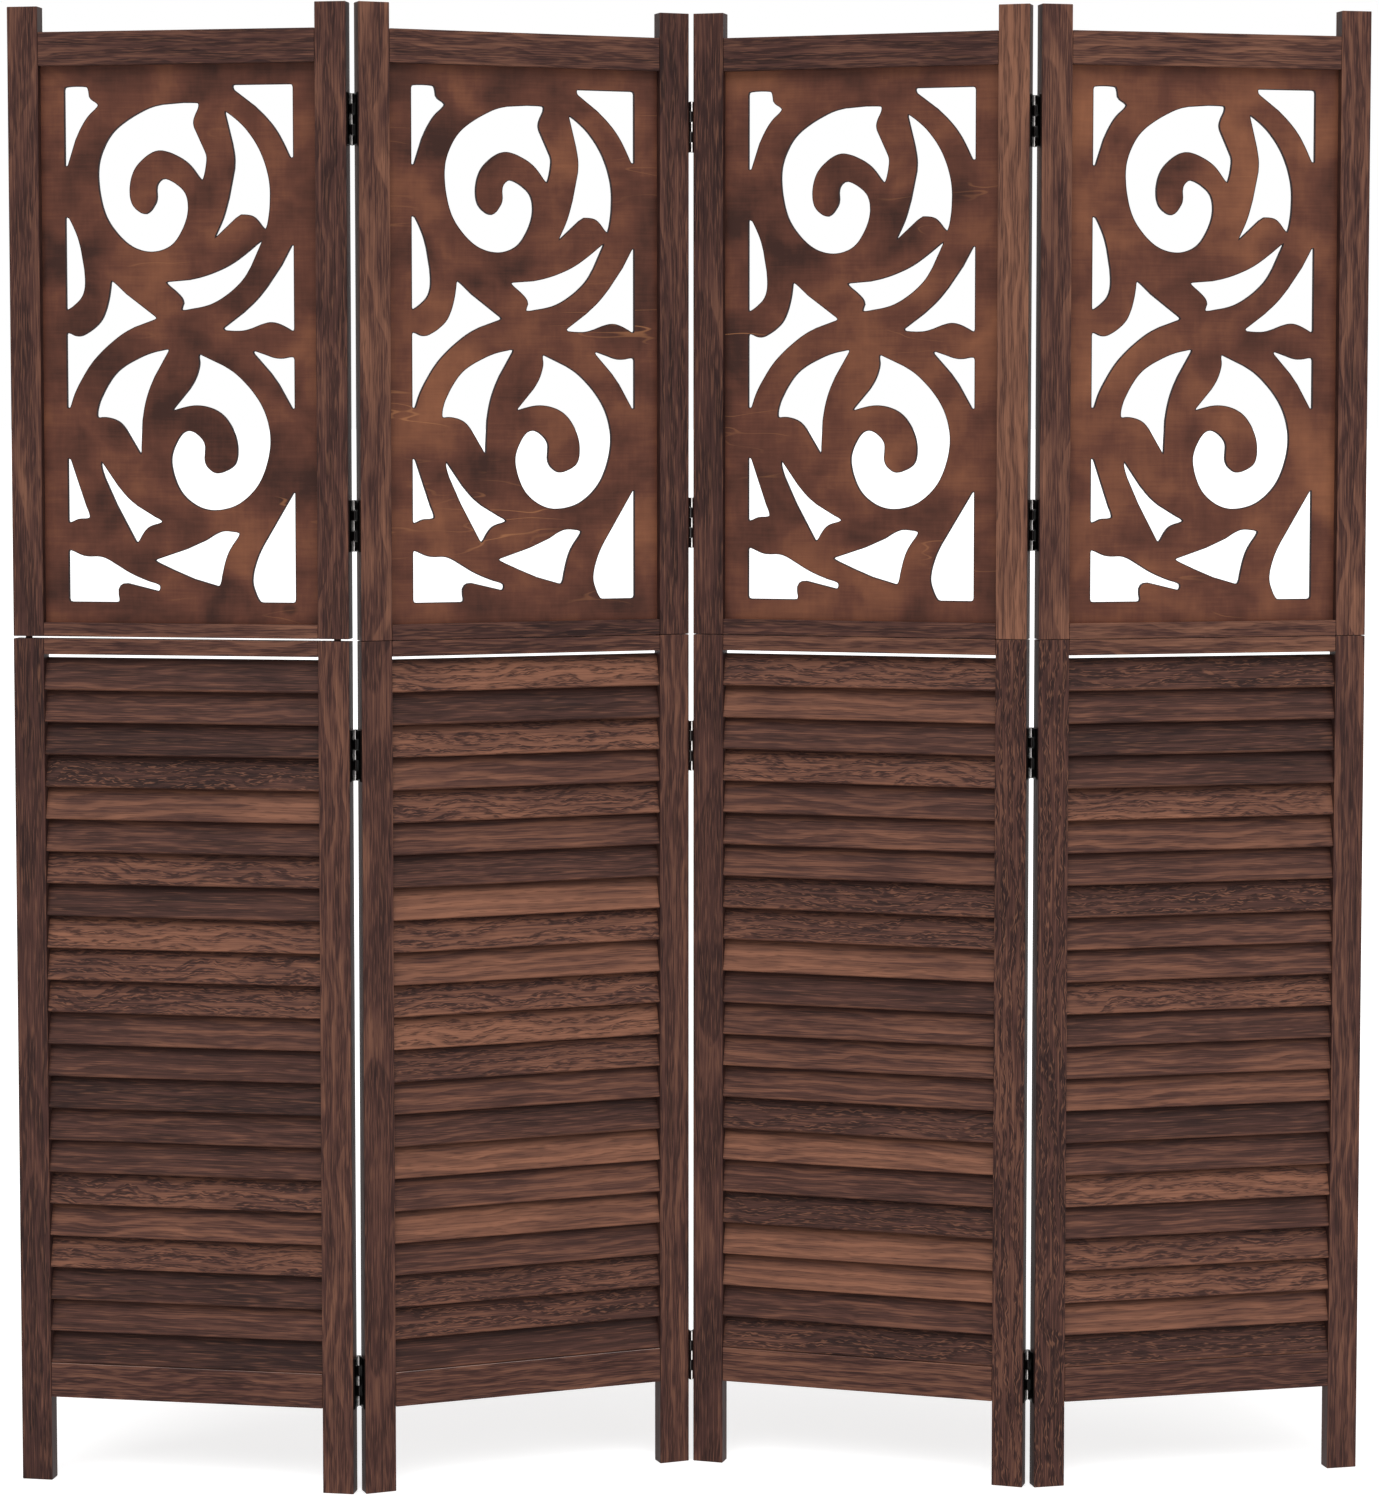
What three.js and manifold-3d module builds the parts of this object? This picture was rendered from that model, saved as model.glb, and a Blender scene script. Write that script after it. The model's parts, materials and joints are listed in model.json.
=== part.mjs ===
// Folding screen of four hinged panels in stained wood.
// Each panel is a framed, scroll-cut plywood sheet doweled on top of a louvred frame that stands on two feet.
// Millimetres, +Z up. A panel is drawn flat: X runs along it, Y from its front face to its back, Z up from
// the floor. The panels are then chained pin to pin and set in a zigzag.

import * as THREE from 'three';
import Module from 'manifold-3d';
import { mergeVertices } from 'three/addons/utils/BufferGeometryUtils.js';

const wasm = await Module();
wasm.setup();

// Panel
const panelWidth = 396.5;
const frameDepth = 19;
const stileWidth = 36;
const panelHeadings = [-9.6, 20.9, -16.8, 12.9]; // degrees from X, one for each panel, seen from above
const panelGap = 3.4; // between neighbouring panels, straight or folded

// Heights, from the floor up
const footHeight = 98.3;
const bottomRailHeight = 40;
const louvreOpening = 824.4;
const middleRailHeight = 18;
const sillRailHeight = 18.3;
const fretworkOpening = 634;
const topRailHeight = 38;
const hornHeight = 29;
const seamGaps = [2.6, 0.6, 0.6, 0.6]; // how far each upper frame stands off its lower frame

// Joinery
const fitGap = 0.3; // clearance wherever two pieces meet
const tenonLength = 14;
const tenonThickness = 7;
const tenonShoulder = 3; // how far a tenon stands back from its rail's edges
const dowelDiameter = 8;
const dowelInset = 15.5; // dowel's middle from the stile's outer edge
const dowelHeight = 18;

// Louvre slats
const slatWidth = 38.5;
const slatThickness = 5;
const slatTilt = 18; // degrees from upright
const slatSpacing = 37.3;
const slatSetback = 1.5; // lower front edge behind the frame's face
const slatFootRise = 0.7; // lowest slat's front edge above the bottom rail
const slatHeadroom = 3.6; // part of the opening's height that the slats leave over
const slatHousing = 6; // depth of the slots in the right stile

// Fretwork sheet
const plyThickness = 4;
const plySetback = 10; // front of the sheet behind the frame's face
const grooveDepth = 6;
const grooveWall = 2; // wood between the groove and the tenons
const sideBorder = 28.25; // wood left between the frame and the cut-outs
const endBorder = 24;
const cutterRadius = 1.6; // rounding in the cut-outs' corners
const curveTolerance = 0.3; // how far a facet may stand off its curve

// Hinges
const hingeHeight = 58.5;
const hingeInset = 130.5; // hinge's middle from the frame's end, at the top and on both sides of the seam
const bottomHingeHeight = 127.5; // the lowest hinge's middle above the floor
const knuckleCount = 5;
const knuckleRadius = 2.4;
const knuckleGap = 0.4;
const pinRadius = 1.1;
const pinClearance = 0.25;
const leafWidth = 17;
const leafThickness = 1;
const pinStandoff = 2.7; // pin's axis outside the panel's face
const leafRelief = 0.8; // space round the other leaf's knuckles

// Worked out from the sizes above
const bottomRailTop = footHeight + bottomRailHeight;
const middleRailBottom = bottomRailTop + louvreOpening;
const lowerFrameTop = middleRailBottom + middleRailHeight;
const sheetBottom = lowerFrameTop + sillRailHeight;
const sheetTop = sheetBottom + fretworkOpening;
const topRailTop = sheetTop + topRailHeight;
const screenHeight = topRailTop + hornHeight;
const openingWidth = panelWidth - 2 * stileWidth;

const walnut = new THREE.MeshStandardMaterial({ color: 0x4a3128, roughness: 0.62, metalness: 0 });
const slatWood = new THREE.MeshStandardMaterial({ color: 0x52372b, roughness: 0.62, metalness: 0 });
const plywood = new THREE.MeshStandardMaterial({ color: 0x653a25, roughness: 0.55, metalness: 0 });
const bronze = new THREE.MeshStandardMaterial({ color: 0x2b2422, roughness: 0.4, metalness: 0.9 });

// A closed geometry as a solid that can be joined and cut.
function solid(geometry) {
  const bare = geometry.clone();
  bare.deleteAttribute('normal');
  bare.deleteAttribute('uv');
  const merged = mergeVertices(bare, 1e-4);
  return new wasm.Manifold(new wasm.Mesh({
    numProp: 3,
    vertProperties: new Float32Array(merged.attributes.position.array),
    triVerts: new Uint32Array(merged.index.array),
  }));
}

function geometryOf(body) {
  const mesh = body.getMesh();
  const geometry = new THREE.BufferGeometry();
  geometry.setAttribute('position', new THREE.BufferAttribute(new Float32Array(mesh.vertProperties), 3));
  geometry.setIndex(new THREE.BufferAttribute(new Uint32Array(mesh.triVerts), 1));
  return geometry;
}

function piece(name, body, material) {
  const geometry = geometryOf(body).toNonIndexed();
  geometry.computeVertexNormals();
  const mesh = new THREE.Mesh(geometry, material.clone());
  mesh.name = name;
  return mesh;
}

// A square-edged block between two corners.
function block([x0, y0, z0], [x1, y1, z1]) {
  const box = new THREE.BoxGeometry(x1 - x0, y1 - y0, z1 - z0);
  box.translate((x0 + x1) / 2, (y0 + y1) / 2, (z0 + z1) / 2);
  return solid(box);
}

// An upright round bar with flat facets.
function bar(radius, x, y, z0, z1, sides) {
  const cylinder = new THREE.CylinderGeometry(radius, radius, z1 - z0, sides);
  cylinder.rotateX(Math.PI / 2);
  cylinder.translate(x, y, (z0 + z1) / 2);
  return solid(cylinder);
}

const joined = (bodies) => bodies.reduce((sum, body) => sum.add(body));
const cutFrom = (body, cuts) => cuts.reduce((rest, cut) => rest.subtract(cut), body);

// Tenons: each rail end has one, set at mid depth and clear of the sheet's groove where there is one.
const tenonFront = (frameDepth - tenonThickness) / 2;
const tenonBack = tenonFront + tenonThickness;
const rails = {
  bottom: { z0: footHeight, z1: bottomRailTop, low: tenonShoulder, high: tenonShoulder },
  middle: { z0: middleRailBottom, z1: lowerFrameTop, low: tenonShoulder, high: tenonShoulder },
  sill: { z0: lowerFrameTop, z1: sheetBottom, low: tenonShoulder, high: grooveDepth + grooveWall },
  top: { z0: sheetTop, z1: topRailTop, low: grooveDepth + grooveWall, high: tenonShoulder },
};

function mortise(rail, leftStile) {
  const edge = leftStile ? stileWidth : panelWidth - stileWidth;
  const end = leftStile ? edge - tenonLength : edge + tenonLength;
  return block(
    [Math.min(edge, end) - (leftStile ? 0 : 1), tenonFront - fitGap, rail.z0 + rail.low - fitGap],
    [Math.max(edge, end) + (leftStile ? 1 : 0), tenonBack + fitGap, rail.z1 - rail.high + fitGap],
  );
}

function railBody(rail) {
  const left = stileWidth + fitGap;
  const right = panelWidth - stileWidth - fitGap;
  const tenon = (x0, x1) => block(
    [x0, tenonFront, rail.z0 + rail.low],
    [x1, tenonBack, rail.z1 - rail.high],
  );
  return joined([
    block([left, 0, rail.z0], [right, frameDepth, rail.z1]),
    tenon(left - tenonLength, left + 1),
    tenon(right - 1, right + tenonLength),
  ]);
}

// The groove that holds the sheet, as one block as large as the sheet with its clearance.
function sheetGroove() {
  return block(
    [stileWidth - grooveDepth, plySetback - fitGap, sheetBottom - grooveDepth],
    [panelWidth - stileWidth + grooveDepth, plySetback + plyThickness + fitGap, sheetTop + grooveDepth],
  );
}

const dowelCentre = (leftStile) => (leftStile ? dowelInset : panelWidth - dowelInset);
const dowelSides = 16;

// Louvre slat number i from the bottom, from one X to another. The lowest slat is planed level over its rail.
const slatCount = Math.floor((louvreOpening - slatHeadroom) / slatSpacing + 0.5);
const slatStep = (louvreOpening - slatHeadroom) / slatCount;

function slat(i, x0, x1, grow) {
  const tilt = THREE.MathUtils.degToRad(slatTilt);
  const rise = new THREE.Vector2(Math.sin(tilt), Math.cos(tilt));
  const through = new THREE.Vector2(Math.cos(tilt), -Math.sin(tilt));
  const foot = new THREE.Vector2(slatSetback, bottomRailTop + slatFootRise + i * slatStep);
  const corner = (up, back) => foot.clone().addScaledVector(rise, up).addScaledVector(through, back);
  const outline = new THREE.Shape([
    corner(-grow, -grow),
    corner(-grow, slatThickness + grow),
    corner(slatWidth + grow, slatThickness + grow),
    corner(slatWidth + grow, -grow),
  ]);
  const board = new THREE.ExtrudeGeometry(outline, { depth: x1 - x0, bevelEnabled: false });
  const toPanel = new THREE.Matrix4().makeBasis(
    new THREE.Vector3(0, 1, 0), new THREE.Vector3(0, 0, 1), new THREE.Vector3(1, 0, 0),
  );
  board.applyMatrix4(toPanel).translate(x0, 0, 0);
  const railLine = bottomRailTop + fitGap - grow;
  const belowRail = block([x0 - 1, -frameDepth, 0], [x1 + 1, 2 * frameDepth, railLine]);
  return i === 0 ? solid(board).subtract(belowRail) : solid(board);
}

const slatNumbers = Array.from({ length: slatCount }, (_, i) => i);

// Lower frame: the slats are one piece with the left stile and sit in slots of the right stile.
function lowerStile(leftStile) {
  const x0 = leftStile ? 0 : panelWidth - stileWidth;
  const body = block([x0, 0, 0], [x0 + stileWidth, frameDepth, lowerFrameTop]);
  const cuts = [mortise(rails.bottom, leftStile), mortise(rails.middle, leftStile)];
  const additions = [bar(
    dowelDiameter / 2, dowelCentre(leftStile), frameDepth / 2, lowerFrameTop - 1, lowerFrameTop + dowelHeight,
    dowelSides,
  )];
  if (leftStile) {
    const tip = panelWidth - stileWidth + slatHousing - fitGap;
    additions.push(...slatNumbers.map((i) => slat(i, stileWidth - 1, tip, 0)));
  } else {
    cuts.push(...slatNumbers.map((i) => slat(i, x0 - 1, x0 + slatHousing, fitGap)));
  }
  return joined([cutFrom(body, cuts), ...additions]);
}

// Upper frame: grooved for the sheet and bored for the dowels.
function upperStile(leftStile, seamGap) {
  const x0 = leftStile ? 0 : panelWidth - stileWidth;
  const body = block([x0, 0, lowerFrameTop + seamGap], [x0 + stileWidth, frameDepth, screenHeight]);
  const bore = bar(
    dowelDiameter / 2 + fitGap, dowelCentre(leftStile), frameDepth / 2,
    lowerFrameTop - 1, lowerFrameTop + dowelHeight + fitGap, dowelSides,
  );
  const sill = { ...rails.sill, z0: lowerFrameTop + seamGap };
  return cutFrom(body, [bore, sheetGroove(), mortise(sill, leftStile), mortise(rails.top, leftStile)]);
}

function sillRail(seamGap) {
  return railBody({ ...rails.sill, z0: lowerFrameTop + seamGap }).subtract(sheetGroove());
}

// Fretwork. Each cut-out goes round its edge by its corners, c, and by points that a curve runs through, p.
const c = (x, y) => ({ x, y, corner: true });
const p = (x, y) => ({ x, y, corner: false });
const cutouts = {
  topLeftCorner: [
    c(0, 586), c(27.5, 586), p(28.5, 576), p(32, 571), c(40.5, 565.5),
    p(26, 551), p(13, 528), c(2.8, 497), c(0, 497),
  ],
  topRightCorner: [
    c(198, 586), c(199, 581), p(227, 559.5), p(249, 534.5), c(265, 504), c(268, 504), c(268, 586),
  ],
  upperSpiral: [
    c(158, 566), p(137, 566.5), p(101, 561.5), p(61, 538), p(43, 509), p(39.5, 480), p(46, 445),
    p(60, 421.5), p(80, 404.5), p(104, 399.3), p(126, 407.5), p(140, 429), p(144.5, 450), p(139, 468),
    p(119, 481), p(109, 474), p(107.5, 455.5), p(95, 441.5), p(79, 452.5), p(76.5, 475.5), p(86, 498),
    p(111, 513.5), p(142, 501.5), c(162, 478.5), p(166.7, 504), p(160.7, 520.5), p(151.5, 543),
    c(157.5, 561),
  ],
  upperLeaf: [
    c(188.5, 557), p(210.5, 539), p(229, 512), p(239.5, 479), p(240, 446), c(235.5, 422.5),
    p(223, 437), p(211.5, 440.3), p(202, 437.5), c(176, 414), p(187.5, 440), p(196.5, 475), p(199.8, 507),
  ],
  middleLeftLeaf: [
    c(0, 439), c(4, 437.5), p(15.5, 410.5), p(22, 371), p(18, 348), c(0, 332.5),
  ],
  middleBeak: [
    c(117.5, 364.5), p(154, 368.3), p(194, 383.5), c(231.5, 411), p(209.5, 368.3), p(174.5, 341),
    c(135.5, 332.5), p(138.8, 341), p(134, 350),
  ],
  middleRightTriangle: [
    c(268, 405), c(266, 405), p(253.5, 382), p(232, 352), p(211.5, 331.5), c(185.5, 312),
    c(187, 310), p(210, 309.7), p(242, 318.8), c(268, 308),
  ],
  rightSmallTriangle: [
    c(219, 285.5), p(224.5, 285.3), p(248, 277.5), c(268, 279.5), c(268, 221), c(265.5, 221),
    p(246, 254.5),
  ],
  leftHorn: [
    c(0, 308), p(17, 303.5), p(40, 319.5), p(50, 344), c(53.5, 367), p(71, 351), c(107.5, 323.5),
    p(70, 308.5), p(34, 278.5), p(12, 245), c(3, 222), c(0, 222),
  ],
  lowerLeftLeaf: [
    c(35, 210.5), p(40, 232), p(60.5, 263), p(94.5, 282), c(121.5, 288.5), p(100, 250), p(89.5, 213),
    c(87, 168.5), p(66, 202), p(48, 211),
  ],
  lowerSpiral: [
    c(156, 283), p(197.5, 261.5), p(229, 225), p(239.3, 184), p(228.5, 141), p(204.5, 114.5),
    p(176, 105.8), p(152, 111), p(132, 130), p(123, 163), p(134, 190), p(147.5, 194.8), p(161.5, 182),
    p(162, 162), p(167.5, 152), p(179, 147.5), p(198, 158), p(200.5, 182), p(191, 205.5),
    p(175.5, 219.5), p(152, 224.8), c(124.5, 219), p(147.5, 246.5), p(156.5, 268),
  ],
  leftSliver: [
    c(0, 164), c(3, 163), p(15.5, 125), c(26, 96), p(12, 95), c(0, 90),
  ],
  diagonalLeaf: [
    c(39.5, 161), p(60.5, 131), p(80.5, 111), c(112.5, 92), p(94, 85), c(81.5, 67), p(59, 108.5),
    p(42.5, 145),
  ],
  bottomLeftNotched: [
    c(0, 60), p(19, 52.3), p(42, 50.5), p(70.5, 34.3), p(93, 24.5), c(108.5, 19.5), c(107.5, 12.5),
    p(88, 17.3), p(67, 21.7), p(58.7, 15), c(60, 0), c(0, 0),
  ],
  bottomTriangle: [
    c(101.5, 48), p(136, 59.3), p(161, 70), p(182, 81), c(203.5, 79.5), p(188, 54.5), c(178.8, 18.5),
    p(144, 28.8),
  ],
  bottomRightDrop: [
    c(268, 126), c(266, 125), p(247.5, 93.5), p(226, 56.7), p(217.7, 25), c(226, 0.8), c(268, 0.8),
  ],
};

// The field that the scrolls fill on the sheet, and what they are stretched by to fill it
const field = new THREE.Vector2(openingWidth - 2 * sideBorder, fretworkOpening - 2 * endBorder);
const drawing = new THREE.Box2().setFromPoints(Object.values(cutouts).flat());
const stretch = field.clone().divide(drawing.getSize(new THREE.Vector2()));

// Leaves out points of a fine polyline for as long as the rest stays within the tolerance.
function thinned(points) {
  const kept = [points[0]];
  let start = 0;
  while (start < points.length - 1) {
    let end = start + 1;
    while (end + 1 < points.length && strayFrom(points, start, end + 1) < curveTolerance) {
      end += 1;
    }
    kept.push(points[end]);
    start = end;
  }
  return kept;
}

function strayFrom(points, start, end) {
  const along = points[end].clone().sub(points[start]).normalize();
  const between = points.slice(start + 1, end);
  const offsets = between.map((q) => Math.abs(q.clone().sub(points[start]).cross(along)));
  return Math.max(0, ...offsets);
}

// The point at a length along a polyline.
function pointAlong(points, length) {
  let left = length;
  for (let i = 1; i < points.length; i += 1) {
    const step = points[i].distanceTo(points[i - 1]);
    if (left <= step) {
      return { at: points[i - 1].clone().lerp(points[i], left / step), next: i };
    }
    left -= step;
  }
  return { at: points[points.length - 1].clone(), next: points.length };
}

// The closed outline of a cut-out, with curves between its corners and the corners rounded.
function outlineOf(marks) {
  const toField = ({ x, y }) => new THREE.Vector2(x, y).sub(drawing.min).multiply(stretch);
  const starts = marks.map((mark, i) => (mark.corner ? i : -1)).filter((i) => i >= 0);
  const runs = starts.map((from, n) => {
    const to = n + 1 < starts.length ? starts[n + 1] : starts[0] + marks.length;
    const points = [];
    for (let i = from; i <= to; i += 1) {
      points.push(toField(marks[i % marks.length]));
    }
    return points.length > 2 ? new THREE.SplineCurve(points).getPoints(24 * points.length) : points;
  });
  const lengthOf = (points) => points.slice(1).reduce((sum, q, i) => sum + q.distanceTo(points[i]), 0);
  const trims = runs.map((run, n) => {
    const before = runs[(n + runs.length - 1) % runs.length];
    return Math.min(2 * cutterRadius, lengthOf(run) / 2.5, lengthOf(before) / 2.5);
  });
  const outline = [];
  runs.forEach((run, n) => {
    const head = pointAlong(run, trims[n]);
    const tail = pointAlong(run, lengthOf(run) - trims[(n + 1) % runs.length]);
    const before = runs[(n + runs.length - 1) % runs.length];
    const came = pointAlong([...before].reverse(), trims[n]);
    const nose = new THREE.QuadraticBezierCurve(came.at, run[0], head.at).getPoints(2);
    const middle = thinned([head.at, ...run.slice(head.next, tail.next), tail.at]);
    outline.push(...nose.slice(1), ...middle.slice(1, -1), tail.at);
  });
  return outline.filter((q, i) => q.distanceTo(outline[(i + 1) % outline.length]) > 0.05);
}

function fretworkSheet() {
  const margin = grooveDepth - fitGap;
  const x0 = stileWidth - margin;
  const x1 = panelWidth - stileWidth + margin;
  const sheet = new THREE.Shape([
    new THREE.Vector2(x0, sheetBottom - margin),
    new THREE.Vector2(x1, sheetBottom - margin),
    new THREE.Vector2(x1, sheetTop + margin),
    new THREE.Vector2(x0, sheetTop + margin),
  ]);
  const corner = new THREE.Vector2(stileWidth + sideBorder, sheetBottom + endBorder);
  sheet.holes = Object.values(cutouts).map((marks) => {
    return new THREE.Path(outlineOf(marks).map((q) => q.add(corner)));
  });
  const geometry = new THREE.ExtrudeGeometry(sheet, { depth: plyThickness, bevelEnabled: false });
  geometry.rotateX(Math.PI / 2).translate(0, plySetback + plyThickness, 0);
  return solid(geometry);
}

// Hinge leaf, drawn closed with the pin on the Z axis and its panel towards +X. The wood's edge is at
// X = panelGap / 2 and the panel's hinge-side face at Y = -pinStandoff, so the leaf runs to -Y.
const knuckleSides = 8;
const pinSides = 6;

function hingeLeaf(withPin) {
  const pitch = hingeHeight / knuckleCount;
  const seat = panelGap / 2 - fitGap;
  const plate = block(
    [seat - leafThickness, -pinStandoff - leafWidth, -hingeHeight / 2],
    [seat, 0, hingeHeight / 2],
  );
  const knuckles = [];
  const reliefs = [];
  for (let k = 0; k < knuckleCount; k += 1) {
    const z0 = -hingeHeight / 2 + k * pitch;
    const own = (k % 2 === 0) === withPin;
    if (own) {
      knuckles.push(bar(knuckleRadius, 0, 0, z0 + knuckleGap / 2, z0 + pitch - knuckleGap / 2, knuckleSides));
    } else {
      reliefs.push(block(
        [-panelGap, -knuckleRadius - leafRelief, z0 - knuckleGap / 2],
        [panelGap, knuckleRadius + 1, z0 + pitch + knuckleGap / 2],
      ));
    }
  }
  const leaf = joined([cutFrom(plate, reliefs), ...knuckles]);
  if (withPin) {
    return leaf.add(bar(pinRadius, 0, 0, -hingeHeight / 2 + 1, hingeHeight / 2 - 1, pinSides));
  }
  return leaf.subtract(bar(pinRadius + pinClearance, 0, 0, -hingeHeight, hingeHeight, pinSides));
}

const hingeHeights = {
  top: screenHeight - hingeInset,
  upper: lowerFrameTop + hingeInset,
  lower: lowerFrameTop - hingeInset,
  bottom: bottomHingeHeight,
};

// Shapes that every panel shares
const shapes = {
  lowerLeft: lowerStile(true),
  lowerRight: lowerStile(false),
  middle: railBody(rails.middle),
  bottom: railBody(rails.bottom),
  top: railBody(rails.top).subtract(sheetGroove()),
  sheet: fretworkSheet(),
  pinLeaf: hingeLeaf(true),
  plainLeaf: hingeLeaf(false),
};

function panel(number) {
  const seamGap = seamGaps[number - 1];
  const group = new THREE.Group();
  group.add(
    piece(`panel_${number}_louvre_stile_left`, shapes.lowerLeft, slatWood),
    piece(`panel_${number}_louvre_stile_right`, shapes.lowerRight, walnut),
    piece(`panel_${number}_middle_rail`, shapes.middle, walnut),
    piece(`panel_${number}_bottom_rail`, shapes.bottom, walnut),
    piece(`panel_${number}_upper_stile_left`, upperStile(true, seamGap), walnut),
    piece(`panel_${number}_upper_stile_right`, upperStile(false, seamGap), walnut),
    piece(`panel_${number}_sill_rail`, sillRail(seamGap), walnut),
    piece(`panel_${number}_top_rail`, shapes.top, walnut),
    piece(`panel_${number}_fretwork`, shapes.sheet, plywood),
  );
  return group;
}

// Hinge line on one edge of a panel: on its right or left edge, with its knuckles behind or in front.
function hingeLine(panelGroup, jointName, rightEdge, behind, withPin) {
  Object.entries(hingeHeights).forEach(([place, height]) => {
    const [kind, shape] = withPin ? ['pin_leaf', shapes.pinLeaf] : ['leaf', shapes.plainLeaf];
    const leaf = piece(`hinge_${jointName}_${place}_${kind}`, shape, bronze);
    leaf.position.set(
      rightEdge ? panelWidth + panelGap / 2 : -panelGap / 2,
      behind ? frameDepth + pinStandoff : -pinStandoff,
      height,
    );
    // turned round, so that the same leaf serves either edge and either face
    if (rightEdge && behind) {
      leaf.rotation.y = Math.PI;
    } else if (rightEdge) {
      leaf.rotation.z = Math.PI;
    } else if (!behind) {
      leaf.rotation.x = Math.PI;
    }
    panelGroup.add(leaf);
  });
}

// Chain of panels, pin to pin. Odd joints have their pins behind, the middle one in front.
const screen = new THREE.Group();
screen.name = 'folding_screen';
let pinPlace = new THREE.Vector2();
let cameBehind = true;
for (let number = 1; number <= panelHeadings.length; number += 1) {
  const group = panel(number);
  const heading = THREE.MathUtils.degToRad(panelHeadings[number - 1]);
  const toWorld = (x, y) => new THREE.Vector2(x, y).rotateAround(new THREE.Vector2(), heading);
  if (number > 1) {
    hingeLine(group, `${number - 1}_${number}`, false, cameBehind, false);
    pinPlace.sub(toWorld(-panelGap / 2, cameBehind ? frameDepth + pinStandoff : -pinStandoff));
  }
  group.position.set(pinPlace.x, pinPlace.y, 0);
  group.rotation.z = heading;
  if (number < panelHeadings.length) {
    const behind = number % 2 === 1;
    hingeLine(group, `${number}_${number + 1}`, true, behind, true);
    const pinDepth = behind ? frameDepth + pinStandoff : -pinStandoff;
    pinPlace = pinPlace.clone().add(toWorld(panelWidth + panelGap / 2, pinDepth));
    cameBehind = behind;
  }
  screen.add(group);
}

// The origin is on the floor, under the middle of the whole screen.
screen.updateMatrixWorld(true);
const middle = new THREE.Box3().setFromObject(screen).getCenter(new THREE.Vector3());
screen.position.set(-middle.x, -middle.y, 0);

export default screen;
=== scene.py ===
import json
import math
import random

import bmesh
import bpy
from mathutils import Matrix, Vector


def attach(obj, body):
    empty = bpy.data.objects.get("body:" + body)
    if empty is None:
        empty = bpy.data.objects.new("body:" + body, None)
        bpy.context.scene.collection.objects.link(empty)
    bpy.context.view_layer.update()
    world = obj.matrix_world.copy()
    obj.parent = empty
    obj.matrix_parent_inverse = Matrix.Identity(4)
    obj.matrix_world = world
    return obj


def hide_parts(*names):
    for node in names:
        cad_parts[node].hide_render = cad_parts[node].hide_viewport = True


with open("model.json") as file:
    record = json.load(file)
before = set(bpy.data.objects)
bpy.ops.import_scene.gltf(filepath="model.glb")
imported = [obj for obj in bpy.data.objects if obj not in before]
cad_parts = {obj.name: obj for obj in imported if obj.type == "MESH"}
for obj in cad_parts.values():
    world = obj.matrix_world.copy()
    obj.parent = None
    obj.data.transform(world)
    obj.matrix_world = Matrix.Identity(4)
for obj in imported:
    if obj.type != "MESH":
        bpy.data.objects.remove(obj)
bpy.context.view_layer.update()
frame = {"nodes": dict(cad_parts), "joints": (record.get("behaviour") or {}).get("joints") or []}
bpy.ops.object.select_all(action="DESELECT")
print("frame loaded, nodes:", len(frame["nodes"]))

# Sizes that every panel shares, in metres. A panel is built flat: X along it, Y from front to back, Z up.
screen = {
    "headings": (-9.6, 20.9, -16.8, 12.9),  # degrees, seen from above
    "panelWidth": 0.3965,
    "frameDepth": 0.019,
    "stileWidth": 0.036,
    "panelGap": 0.0034,
    "pinStandoff": 0.0027,
    "height": 1.7,
    "footHeight": 0.0983,
    "bottomRailTop": 0.1383,
    "middleRailLow": 0.9627,
    "lowerTop": 0.9807,
    "sheetLow": 0.999,
    "sheetTop": 1.633,
    "topRailTop": 1.671,
    "seamGaps": (0.0026, 0.0006, 0.0006, 0.0006),
    "fit": 0.0003,
    "grooveDepth": 0.006,
    "grooveFront": 0.0097,
    "grooveBack": 0.0143,
}
panelNumbers = (1, 2, 3, 4)
chance = random.Random(41)


def panelMatrix(number):
    # from flat to its place in the zigzag, hung from the joint's pin that the frame gives: the first panel
    # by its right edge, the others by their left, and the third with its pin in front
    joint = frame["joints"][max(number - 2, 0)]
    pinX = screen["panelWidth"] + screen["panelGap"] / 2 if number == 1 else -screen["panelGap"] / 2
    pinY = -screen["pinStandoff"] if number == 3 else screen["frameDepth"] + screen["pinStandoff"]
    turn = Matrix.Rotation(math.radians(screen["headings"][number - 1]), 4, "Z")
    return Matrix.Translation(joint["pos_m"]) @ turn @ Matrix.Translation((-pinX, -pinY, 0))


def linear(red, green, blue):
    # a colour as read off a picture, as the shader wants it
    def channel(value):
        value /= 255
        return value / 12.92 if value <= 0.04045 else ((value + 0.055) / 1.055) ** 2.4
    return (channel(red), channel(green), channel(blue), 1)


# building tools
def only(piece):
    bpy.ops.object.select_all(action="DESELECT")
    piece.select_set(True)
    bpy.context.view_layer.objects.active = piece


def editFaces(piece, wanted):
    # goes into edit mode with just these faces selected
    only(piece)
    bpy.ops.object.mode_set(mode="EDIT")
    bpy.ops.mesh.select_mode(type="FACE")
    bpy.ops.mesh.select_all(action="DESELECT")
    mesh = bmesh.from_edit_mesh(piece.data)
    for face in mesh.faces:
        face.select_set(wanted(face.calc_center_median(), face.normal))
    bmesh.update_edit_mesh(piece.data)


def cutAcross(piece, places, normal):
    # scores the whole piece on planes, so that the strips between them can be worked
    only(piece)
    bpy.ops.object.mode_set(mode="EDIT")
    for place in places:
        bpy.ops.mesh.select_all(action="SELECT")
        bpy.ops.mesh.bisect(plane_co=place, plane_no=normal)
    bpy.ops.object.mode_set(mode="OBJECT")


def push(piece, wanted, move):
    editFaces(piece, wanted)
    bpy.ops.mesh.extrude_region_move(TRANSFORM_OT_translate={"value": move})
    bpy.ops.object.mode_set(mode="OBJECT")


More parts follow.
